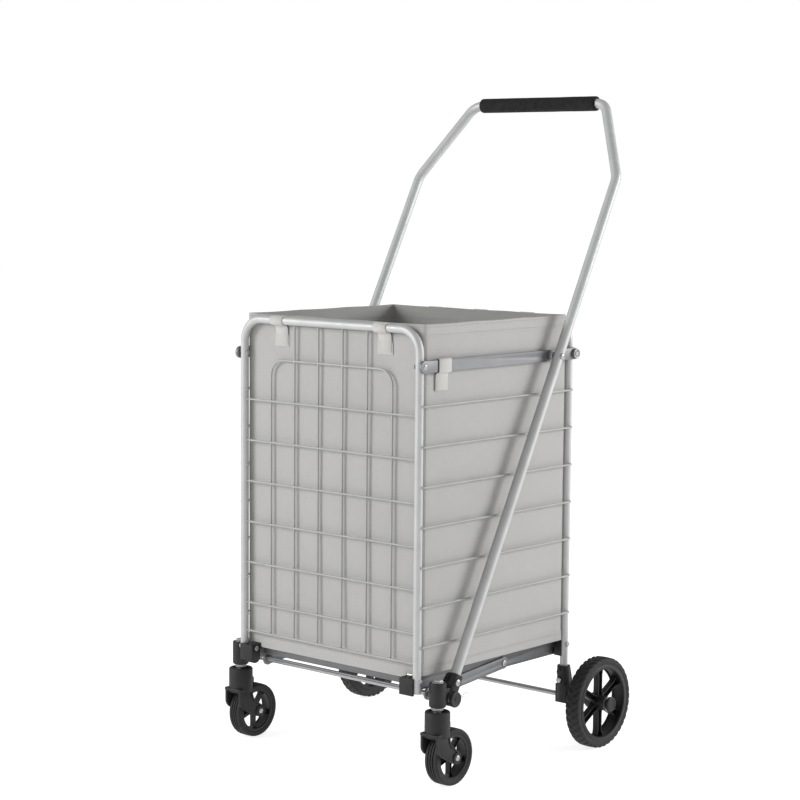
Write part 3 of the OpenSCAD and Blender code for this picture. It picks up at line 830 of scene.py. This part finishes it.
def make_grip():
    """Foam sleeve with rounded ends, slightly uneven round its length."""
    lo, hi = low("handle_grip"), high("handle_grip")
    half = (hi.x - lo.x) / 2
    r = (hi.z - lo.z) / 2
    bore = LEG_R + 0.3
    corner = 2.6
    steps = 24
    end = []
    for degrees in (30, 60, 90):
        a = math.radians(degrees)
        end.append((half - corner + corner * math.cos(a), r - corner + corner * math.sin(a)))
    profile = [(-half, bore), (-half, r - corner)] + [(-x, radius) for x, radius in end]
    profile += [((half - corner) * (2 * k / steps - 1), r) for k in range(1, steps)]
    profile += end[::-1] + [(half, r - corner), (half, bore)]

    def press(along, radius, turn):
        if radius < bore + 0.2:
            return 0.0
        where = Vector((along * 0.03, math.cos(turn) * 0.6, math.sin(turn) * 0.6))
        return -0.25 + 0.25 * noise.noise(where)

    bm = bmesh.new()
    c = middle("handle_grip")
    placed(bm, lathe(profile, 56, press), at(0, c.y, c.z))
    piece("foam_grip", bm, FOAM, "handle", ("handle_grip",), sharp=60)


# ---------- wheels ----------

def wheel_centre(joint):
    """Centre of the right-hand wheel on a joint; the left one is its mirror image."""
    c = pivot(joint)
    return Vector((abs(c.x), c.y, c.z))


def size(node):
    return high(node) - low(node)


def spoke(bm, r0, r1, x0, x1, halves, wall, web, turn):
    """A channel spoke: two ribs joined by a web, flared at the hub and at the rim."""
    half_hub, half_mid, half_rim = halves
    rings = []
    stations = 14
    for k in range(stations + 1):
        t = k / stations
        r = r0 + (r1 - r0) * t
        flare_in = max(0.0, 1 - t / 0.28) ** 2
        flare_out = max(0.0, 1 - (1 - t) / 0.3) ** 2
        half = half_mid + (half_hub - half_mid) * flare_in + (half_rim - half_mid) * flare_out
        inner = half - wall
        lower = [(x0, -half), (x0 + 0.3, -half), (x1 - 0.5, -half), (x1, -half + 0.5)]
        lower += [(x1, -inner - 0.4), (x1 - 0.5, -inner), (x0 + web, -inner + 0.2)]
        section = lower + [(x, -y) for x, y in lower[::-1]]
        rings.append([(x, y, r) for x, y in section])
    part = bmesh.new()
    skin(part, rings)
    placed(bm, part, Matrix.Rotation(turn, 4, "X"))


def rear_tread(side, sign, c):
    """Rear tyre with slanted lugs on both shoulders and a plain band in the middle."""
    r = size("rear_tyre_right").z / 2
    w = size("rear_tyre_right").x
    lugs = 38

    def lug(along, radius, turn):
        shoulder = abs(along) / (w / 2)
        if radius < r - 4.5 or shoulder < 0.14:
            return 0.0
        phase = (turn * lugs / TURN + (0.5 if along < 0 else 0) + shoulder * 0.8) % 1.0
        return -1.4 if phase < 0.34 else 0.0

    wall = [(-w / 2 + 2.4, REAR_RIM_R), (-w / 2 + 0.5, REAR_RIM_R + 2.5), (-w / 2, REAR_RIM_R + 6)]
    wall += [(-w / 2, r - 4.4), (-w / 2 + 0.3, r - 3.2), (-w / 2 + 1.4, r - 1.2), (-w / 2 + 2.6, r - 0.4)]
    across = (-0.6, -0.42, -0.26, -0.15, 0, 0.15, 0.26, 0.42, 0.6)
    crown = [(t * w / 2, r - 0.4 * abs(t)) for t in across]
    bm = bmesh.new()
    placed(bm, lathe(wall + crown + [(-x, y) for x, y in wall[::-1]], lugs * 12, lug), at(*c))
    piece("rear_tread_" + side, bm, RUBBER, "rear_wheel_" + side,
          ("rear_tyre_" + side,), mirror=sign < 0, sharp=40)


def rear_spokes(side, sign, c):
    """Rim with a lip on each side, long hub and six channel spokes."""
    x1 = size("rear_tyre_right").x / 2 - 0.6
    x0 = -x1
    r = REAR_RIM_R
    rim = [(x0, r), (x0, r + 1.8), (x0 - 0.4, r + 1.2), (x0 - 0.4, 54.6), (x0 + 0.6, 53.6), (x0 + 2.6, 53.4)]
    rim += [(x0 + 3.2, 55.2), (x1 - 3.2, 55.8), (x1 - 2.6, 54.0), (x1 - 0.6, 54.2), (x1 + 0.4, 55.0)]
    rim += [(x1 + 0.4, r + 1.2), (x1, r + 1.8), (x1, r)]
    bm = bmesh.new()
    placed(bm, lathe(rim, 96))
    hub_in, hub_out = HUB_X[0] - c.x, HUB_X[1] - c.x
    hub = [(hub_in, AXLE_BORE), (hub_in, 10.6), (hub_in + 0.8, 11.4), (x0 + 1, 12.5), (x0 + 2.5, 14.2)]
    hub += [(x0 + 6.5, 14.2), (x0 + 8, 12.4), (x1 - 3, 12.0), (hub_out - 1, 10.8), (hub_out, 10.0)]
    hub += [(hub_out, AXLE_BORE)]
    placed(bm, lathe(hub, 64))
    for k in range(6):
        spoke(bm, 10.5, 56.2, -5.2, 4.6, (6.8, 5.4, 9.5), 1.9, 2.4, TURN * k / 6)
    moved = bmesh.new()
    placed(moved, bm, at(*c))
    piece("rear_spokes_" + side, moved, WHEEL_PLASTIC, "rear_wheel_" + side,
          ("rear_rim_" + side,), mirror=sign < 0)


def axle_cap(side, sign, c):
    """Ribbed cap pushed on the end of the axle."""
    base, top = CAP_X[0] - c.x, CAP_X[1] - c.x
    r = 11.8
    profile = [(base, AXLE_BORE), (base, 7.4), (base + 0.6, 8), (base + 3.8, 8), (base + 4.4, 11.2)]
    profile += [(base + 5, r), (top - 1.9, r), (top - 0.8, 11.3), (top - 0.2, 10.2), (top, 8.6)]
    profile += [(top - 0.7, 7.8), (top - 0.9, 0), (base + 2.2, 0), (base + 2.2, AXLE_BORE)]

    def ribs(along, radius, turn):
        return -0.45 if radius > r - 0.1 and (turn * 18 / TURN) % 1.0 < 0.3 else 0.0

    bm = bmesh.new()
    placed(bm, lathe(profile, 108, ribs), at(*c))
    piece("axle_cap_" + side, bm, PLASTIC, "rear_frame", ("hub_cap_" + side,),
          mirror=sign < 0)


def axle_washer(side, sign, c):
    """Washer between the hub and the cap."""
    x0, x1 = HUB_X[1] + 0.03 - c.x, CAP_X[0] - 0.03 - c.x
    bm = bmesh.new()
    placed(bm, lathe([(x0, AXLE_BORE), (x0, 11), (x1, 11), (x1, AXLE_BORE)], 64), at(*c))
    piece("axle_washer_" + side, bm, HARDWARE, "rear_frame", mirror=sign < 0)


def caster_tread(side, sign, c):
    """Caster tyre: flat bead, bulged wall, rounded shoulder and three grooves round the crown."""
    r_in = CASTER_RIM_R
    r = size("caster_tyre_right").z / 2
    w = size("caster_tyre_right").x / 2
    depth = 1.9
    wall = [(-w * 0.82, r_in), (-w * 0.97, r_in + (r - r_in) * 0.3), (-w, r_in + (r - r_in) * 0.62)]
    wall += [(-w * 0.97, r - 1.9), (-w * 0.88, r - 0.75), (-w * 0.76, r - 0.25)]
    crown = []
    for g in (-4.6, 0, 4.6):
        for x, cut in ((g - 1.0, 0), (g - 0.7, depth), (g + 0.7, depth), (g + 1.0, 0)):
            crown.append((x, r - cut - 0.25 * abs(x) / w))
    bm = bmesh.new()
    placed(bm, lathe(wall + crown + [(-x, y) for x, y in wall[::-1]], 120), at(*c))
    piece("caster_tread_" + side, bm, RUBBER, "caster_wheel_" + side,
          ("caster_tyre_" + side,), mirror=sign < 0)


def caster_spokes(side, sign, c):
    """Caster rim, hub and five channel spokes."""
    half = 9.6
    r = CASTER_RIM_R
    left = [(-half, r), (-half, r + 1), (-half - 0.5, r + 0.4), (-half - 0.5, 30.6), (-half + 1, 29.8)]
    left += [(-half + 3, 31)]
    bm = bmesh.new()
    placed(bm, lathe(left + [(-x, y) for x, y in left[::-1]], 80))
    hub = [(-11.5, 3.3), (-11.5, 6.2), (-10.7, 7.2), (-7, 8.4)]
    placed(bm, lathe(hub + [(-x, y) for x, y in hub[::-1]], 48))
    for k in range(5):
        spoke(bm, 6.8, 31.4, -4.2, 4.2, (3.8, 2.7, 5.0), 1.1, 2.4, TURN * (k + 0.5) / 5)
    moved = bmesh.new()
    placed(moved, bm, at(*c))
    piece("caster_spokes_" + side, moved, WHEEL_PLASTIC, "caster_wheel_" + side,
          ("caster_rim_" + side,), mirror=sign < 0)


# ---------- front caster forks ----------

def arm_outline():
    """Side view of a fork arm from the wheel's axle: (y, z)."""
    points = [(-33, 47.5), (-33, 42), (-45.5, 42), (-45.5, 17), (-40, 9.5), (-8.5, -7.6), (0, -9.6)]
    points += [(7.2, -6.0), (9.0, 1.5), (5.5, 8.5)]
    points += [(-13.5, 21.5), (-17, 34), (-19.5, 47.5)]
    return rounded(points, [2, 1, 2.5, 5, 4, 5, 6, 6, 6, 5, 9, 8, 2], 4)


def fork_housing(bm, x, sy, ay, az, clear):
    """Stem housing whose lower edge is arched over the tyre."""
    profile = [(77, 0), (77, 18.4), (77.6, 19), (113.2, 19), (114.6, 18.6), (115.4, 17.6), (115.4, 13.4)]
    profile += [(114.9, 12.8), (113.6, 12.6), (113.6, 5.8), (90.2, 5.8), (90.2, 0)]
    placed(bm, lathe(profile, 72), at(x, sy, LIFT) @ AXIS_Z)
    for vert in bm.verts:
        behind = vert.co.y - ay
        if abs(vert.co.x - x) < 13.6 and abs(behind) < clear:
            vert.co.z = max(vert.co.z, az + math.sqrt(clear ** 2 - behind ** 2))


def fork_crown(bm, x, ay, az, clear):
    """Shoulder in front of the housing and the arched web between the arms."""
    placed(bm, block((x - 17.2, ay - 47, az + 37), (x + 17.2, ay - 27, az + 42.2), 5, 1.2))
    web = [(-45.5, 42), (-45.5, 37), (-42, 34), (-33.5, 29.5)]
    for k in range(7):
        a = math.radians(137 - 30 * k / 6)
        web.append((clear * math.cos(a), clear * math.sin(a)))
    web += [(-13, 46), (-30, 46), (-34, 42)]
    placed(bm, prism(web, -13.4, 13.4, 0.4), at(x, ay, az))


def fork_arms(bm, place):
    """Two arms with a raised border and a boss round the axle."""
    outline = arm_outline()
    border = inset(outline, 2.6)
    boss = [(12.2, 3.1), (12.2, 7.5), (12.9, 8.4), (17.0, 8.9), (17.9, 8.3), (17.9, 5.2), (17.0, 4.9)]
    boss += [(17.0, 3.1)]
    for s in (-1, 1):
        a, b = sorted((s * 12.9, s * 15.9))
        placed(bm, prism(outline, a, b, 0.5), place)
        a, b = sorted((s * 15.6, s * 17.0))
        placed(bm, sleeve(outline, border, a, b, 0.3), place)
        placed(bm, lathe(boss, 48), place if s > 0 else place @ TURNED_BACK)


def fork_shell(side, sign, x, sy, ay, az):
    clear = 44.4
    bm = bmesh.new()
    fork_housing(bm, x, sy, ay, az, clear)
    fork_crown(bm, x, ay, az, clear)
    fork_arms(bm, at(x, ay, az))
    tab = rounded([(0, 84), (5.5, 85.5), (7.2, 91), (6.4, 97), (3, 98.5), (0, 97)], 2.2)
    placed(bm, prism([(sy + 17.6 + a, b) for a, b in tab], -5.5, 5.5, 0.8), at(x, 0, LIFT))
    piece("fork_shell_" + side, bm, PLASTIC, "caster_" + side,
          ("caster_fork_" + side,), mirror=sign < 0)


def caster_bolt(side, sign, place):
    bm = bmesh.new()
    placed(bm, shaft(-17.4, 17.4, PIN_R, 32), place)
    placed(bm, dome(17.2, 19.1, 4.6, dimple=1.6), place)
    placed(bm, hexagon(4.5, 17.2, 19.1, 0.5), place @ TURNED_BACK)
    piece("caster_bolt_" + side, bm, HARDWARE, "caster_" + side, ("caster_axle_" + side,),
          mirror=sign < 0)


def make_stems():
    """Swivel stems with their bearing collars, washers and nuts."""
    bm = bmesh.new()
    stem = pivot("caster_swivel_right")
    rod = [(90.5, 0), (90.5, 5.2), (91, 5.5), (162, 5.5), (162.5, 5.0), (162.5, 0)]
    collar = [(117.2, 5.4), (117.2, 8.6), (117.6, 9.1), (118.9, 9.1), (119.2, 8.0), (119.6, 8.0)]
    collar += [(119.9, 9.6), (121.0, 9.6), (121.4, 9.1), (121.4, 5.4)]
    washer = [(158.55, 5.4), (158.55, 9.3), (159.3, 9.3), (159.3, 5.4)]
    for sign in (-1, 1):
        place = at(sign * stem.x, stem.y, LIFT) @ AXIS_Z
        placed(bm, lathe(rod, 40), place)
        placed(bm, lathe(collar, 56), place)
        placed(bm, lathe(washer, 48), place)
        placed(bm, hexagon(7.6, 159.3, 162.2, 0.5), place)
    piece("stem_bolts", bm, HARDWARE, "handle", ("caster_stems",))


# ---------- caster brackets ----------

def bracket_shell(side, sign, x, sy):
    """Upright stem socket, ribbed bridge, leaning leg clamp and the eye of the cross rod."""
    bm = bmesh.new()
    socket = [(121.6, 5.6), (121.6, 11.2), (122.4, 12.4), (124.2, 13), (156.6, 13), (157.9, 12.6)]
    socket += [(158.5, 11.6), (158.5, 5.6)]
    placed(bm, lathe(socket, 56), at(x, sy, LIFT) @ AXIS_Z)
    placed(bm, block((x - 7.5, sy + 4, 124.5), (x + 7.5, ROD.y - 2, 148), 3, 1.6), at(0, 0, LIFT))
    for rib in (129.0, 136.0, 143.0):
        lo, hi = (x - 8.6, sy + 6, rib - 1), (x + 8.6, ROD.y - 4, rib + 1)
        placed(bm, block(lo, hi, 0.6, 0.5), at(0, 0, LIFT))
    clamp = sleeve(squircle(10.6, 3.4, 56), squircle(LEG_R + 0.03, 2, 56), -5.5, 36.8, 1.4)
    placed(bm, clamp, LEANING @ at(x, 0, 0) @ AXIS_Z)
    eye = [(194.7, 4.1), (194.7, 10.4), (195.6, 11.4), (214.5, 11.4), (215.4, 10.4), (215.4, 4.1)]
    placed(bm, lathe(eye, 56), at(0, ROD.y, ROD.z))
    boss = [(0, 3.1), (0, 7.4), (0.8, 7.4), (1.5, 6.8), (1.5, 5.9), (0.6, 5.6), (0.6, 3.1)]
    placed(bm, lathe(boss, 48), LEANING @ at(194.6, 0, CLAMP_UP) @ TURNED_BACK)
    placed(bm, lathe(boss, 48), LEANING @ at(215.4, 0, CLAMP_UP))
    for k in range(3):
        z = 23.6 + 3.4 * k
        placed(bm, block((x - 7.4, -13.6, z), (x - 0.6, -9.4, z + 2.6), 1.0, 0.7), LEANING)
    piece("bracket_shell_" + side, bm, PLASTIC, "handle", ("caster_bracket_" + side,),
          mirror=sign < 0)


def clamp_screws():
    bm = bmesh.new()
    for sign in (-1, 1):
        place = to_side(sign) @ LEANING @ at(0, 0, CLAMP_UP)
        placed(bm, shaft(194.0, 216.2, PIN_R, 24), place)
        placed(bm, dome(216.0, 218.0, 5.5, dimple=2.0), place)
        placed(bm, hexagon(4.9, 192.4, 194.6, 0.4), place)
    piece("clamp_screws", bm, HARDWARE, "handle", ("clamp_bolts",))


def cross_rod():
    """Rod through both brackets, with a washer at each end."""
    bm = bmesh.new()
    washer = [(215.45, 4.05), (215.45, 10.2), (216.3, 10.2), (216.3, 4.05)]
    for sign in (-1, 1):
        placed(bm, lathe(washer, 48), to_side(sign) @ at(0, ROD.y, ROD.z))
    rod = [(-222, 0), (-222, 3.4), (-221.4, 4), (221.4, 4), (222, 3.4), (222, 0)]
    placed(bm, lathe(rod, 40), at(0, ROD.y, ROD.z))
    piece("cross_rod", bm, HARDWARE, "handle", ("front_cross_rod",))


def cross_rod_caps():
    bm = bmesh.new()
    cap = [(218.6, 4.05), (218.6, 11.2), (219.3, 12), (221.6, 12), (222.8, 11.5), (223.4, 10.2)]
    cap += [(222.9, 9.0), (222.9, 3.4), (223.6, 2.6), (223.6, 0), (222.1, 0), (222.1, 4.05)]
    for sign in (-1, 1):
        placed(bm, lathe(cap, 64), to_side(sign) @ at(0, ROD.y, ROD.z))
    piece("cross_rod_caps", bm, PLASTIC, "handle", ("rod_caps",))


def split_pins():
    """Cotter pins through the rod: an eye in front and two legs bent apart behind."""
    bm = bmesh.new()
    for sign in (-1, 1):
        place = to_side(sign) @ at(217.4, ROD.y, ROD.z)
        for k in (-1, 1):
            leg = [(0, -6.5, 0.62 * k), (0, 6, 0.62 * k), (0, 15, 0.8 * k), (0, 24, 1.6 * k + 0.6)]
            leg.append((0, 33 - k, 3.0 * k + 2))
            placed(bm, sweep(leg, 0.95, 10), place)
        eye = []
        for k in range(17):
            a = math.radians(20 + 320 * k / 16)
            eye.append((0, -9.0 + 2.4 * math.cos(a), 2.1 * math.sin(a)))
        placed(bm, sweep(eye, 0.72, 10), place)
    piece("split_pins", bm, HARDWARE, "handle", ("cotter_pins",))


# ---------- rivets, nuts and pins of the side bars ----------

def front_rivets():
    bm = bmesh.new()
    for sign in (-1, 1):
        place = to_side(sign) @ at(0, FRONT_Y, BAR_Z)
        placed(bm, shaft(172, BAR_FACE + 0.1, RIVET_R, 24), place)
        placed(bm, dome(BAR_FACE, 193.1, 4.6, dimple=2.1), place)
        placed(bm, dome(-173.4, -171.4, 4.4), place)
    piece("front_rivets", bm, HARDWARE, "side_bars", ("bar_rivets",))


def rear_knob_nuts():
    """Knurled nuts over a washer, with a recessed face."""
    washer = [(BAR_FACE, RIVET_R), (BAR_FACE, 7.0), (192.6, 7.0), (192.6, RIVET_R)]
    nut = [(192.7, RIVET_R), (192.7, 7.4), (193.2, 8.2), (196.2, 8.2), (196.8, 7.7), (197.0, 6.8)]
    nut += [(196.7, 5.6), (195.6, 5.1), (195.6, 4.0), (196.9, 3.6), (196.9, 0), (193, 0)]

    def knurl(along, radius, turn):
        return 0.22 * math.cos(turn * 30) - 0.22 if radius > 8.1 else 0.0

    bm = bmesh.new()
    for sign in (-1, 1):
        place = to_side(sign) @ at(0, REAR_Y, BAR_Z)
        placed(bm, shaft(172, BAR_FACE + 0.1, RIVET_R, 24), place)
        placed(bm, lathe(washer, 40), place)
        placed(bm, lathe(nut, 120, knurl), place)
        placed(bm, dome(-173.4, -171.4, 4.4), place)
    piece("rear_knob_nuts", bm, DARK_HARDWARE, "side_bars", ("bar_knobs",))


def handle_pivot_bolts():
    """Bolts from the side bars through a spacer and the handle's legs."""
    spacer = [(190.1, 3), (190.1, 6.2), (190.7, 6.6), (197.0, 6.6), (197.6, 6.2), (197.6, 3)]
    bm = bmesh.new()
    for sign in (-1, 1):
        place = to_side(sign) @ at(0, pivot("handle_fold").y, BAR_Z)
        placed(bm, shaft(186, 214.5, PIN_R, 24), place)
        placed(bm, lathe(spacer, 40), place)
        placed(bm, hexagon(5.2, 184.8, 187, 0.4), place)
        placed(bm, dome(214.2, 216.2, 5.4, dimple=1.9), place)
    piece("handle_pivot_bolts", bm, HARDWARE, "side_bars", ("pivot_bolts",))


# ---------- all the hard pieces ----------

make_grip()
for side, sign in SIDES:
    rear = wheel_centre("rear_spin_" + side)
    for make in (rear_tread, rear_spokes, axle_cap, axle_washer):
        make(side, sign, rear)
    caster = wheel_centre("caster_spin_" + side)
    caster_tread(side, sign, caster)
    caster_spokes(side, sign, caster)
    swivel = pivot("caster_swivel_" + side)
    fork_shell(side, sign, caster.x, swivel.y, caster.y, caster.z)
    caster_bolt(side, sign, at(*caster))
    bracket_shell(side, sign, abs(swivel.x), swivel.y)
make_stems()
clamp_screws()
cross_rod()
cross_rod_caps()
split_pins()
front_rivets()
rear_knob_nuts()
handle_pivot_bolts()
for node in ("side_bar_left", "side_bar_right", "link_left", "link_right"):
    softened(node, FLAT_STEEL, 0.3)
for node in ("base_rail_left", "base_rail_right", "base_cross_bars", "base_slats"):
    softened(node, RAIL_STEEL, 0.3)
for node in ("front_knuckle_left", "front_knuckle_right", "rear_knuckle_left", "rear_knuckle_right",
             "wheel_bracket_left", "wheel_bracket_right", "axle_spacers"):
    softened(node, PLASTIC, 0.8)
for node in ("front_pins", "rear_pins", "bracket_bolts", "link_rivets", "rear_axle"):
    softened(node, HARDWARE, 0.5)


# ---------- cloth pieces get their own meshes ---

for soft in (liner, skirt, liner_thread, liner_patches, *straps):
    if not soft.name.startswith("rear_strap"):
        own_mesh(soft)


# ---------- floor, light and camera ----------

def make_stage():
    """A floor that fades into the white backdrop."""
    floor = bpy.data.meshes.new("floor")
    reach = 14.0
    corners = [(x * reach, y * reach, 0) for x, y in ((-1, -1), (1, -1), (1, 1), (-1, 1))]
    floor.from_pydata(corners, [], [range(4)])
    obj = bpy.data.objects.new("floor", floor)
    bpy.context.scene.collection.objects.link(obj)
    s = Shader("pale_floor", (0.5, 0.5, 0.5), 0.9, 0.0, Specular_IOR_Level=0.0, Emission_Strength=0.80)
    s.set(s.principled, {"Emission Color": (1, 1, 1, 1)})
    s.tone(s.noise(3, 2), 0.99, 1.0)
    floor.materials.append(s.material)
    make_world()


def make_world():
    """Soft grey light from all round, in front of a white backdrop."""
    world = bpy.data.worlds.new("studio")
    bpy.context.scene.world = world
    world.use_nodes = True
    tree = world.node_tree
    light = tree.nodes["Background"]
    light.inputs["Color"].default_value = (1, 1, 1, 1)
    light.inputs["Strength"].default_value = 0.5
    backdrop = tree.nodes.new("ShaderNodeBackground")
    backdrop.inputs["Color"].default_value = (1, 1, 1, 1)
    backdrop.inputs["Strength"].default_value = 1.0
    mix = tree.nodes.new("ShaderNodeMixShader")
    rays = tree.nodes.new("ShaderNodeLightPath")
    tree.links.new(rays.outputs["Is Camera Ray"], mix.inputs[0])
    tree.links.new(light.outputs[0], mix.inputs[1])
    tree.links.new(backdrop.outputs[0], mix.inputs[2])
    tree.links.new(mix.outputs[0], tree.nodes["World Output"].inputs["Surface"])
    bpy.context.scene.view_settings.view_transform = "Standard"


def area_light(name, where, aim, size, watts):
    data = bpy.data.lights.new(name, "AREA")
    data.shape = "RECTANGLE"
    data.size, data.size_y = size
    data.energy = watts
    obj = bpy.data.objects.new(name, data)
    bpy.context.scene.collection.objects.link(obj)
    obj.location = where
    obj.rotation_euler = (Vector(aim) - Vector(where)).to_track_quat("-Z", "Y").to_euler()


def make_camera():
    """Long lens from the front right, at the height of the handle."""
    azimuth, elevation, roll = math.radians(41.1), math.radians(5.96), math.radians(0.46)
    right = Vector((math.cos(azimuth), math.sin(azimuth), 0))
    back = Vector((math.sin(azimuth) * math.cos(elevation), -math.cos(azimuth) * math.cos(elevation),
                   math.sin(elevation)))
    up = back.cross(right)
    across = right * math.cos(roll) + up * math.sin(roll)
    upward = up * math.cos(roll) - right * math.sin(roll)
    # offsets of the camera along its own axes from the foot of the front frame
    sideways, above, distance = 0.1129, 0.6762, 3.2424
    foot = Vector((0, FRONT_Y * MM, LIFT * MM - 0.1175))
    data = bpy.data.cameras.new("camera")
    data.lens = 94.5
    data.sensor_width = 36
    data.clip_end = 50
    camera = bpy.data.objects.new("camera", data)
    bpy.context.scene.collection.objects.link(camera)
    rotation = Matrix((across, upward, back)).transposed()
    camera.matrix_world = Matrix.Translation(foot + across * sideways + upward * above + back * distance) @ (
        rotation.to_4x4())
    bpy.context.scene.camera = camera


make_stage()
area_light("front_left", (-1.9, -3.0, 1.7), (0, 0, 0.4), (1.6, 1.6), 90)
area_light("right_rear", (2.5, 2.3, 1.5), (0, 0, 0.5), (1.3, 1.3), 90)
make_camera()
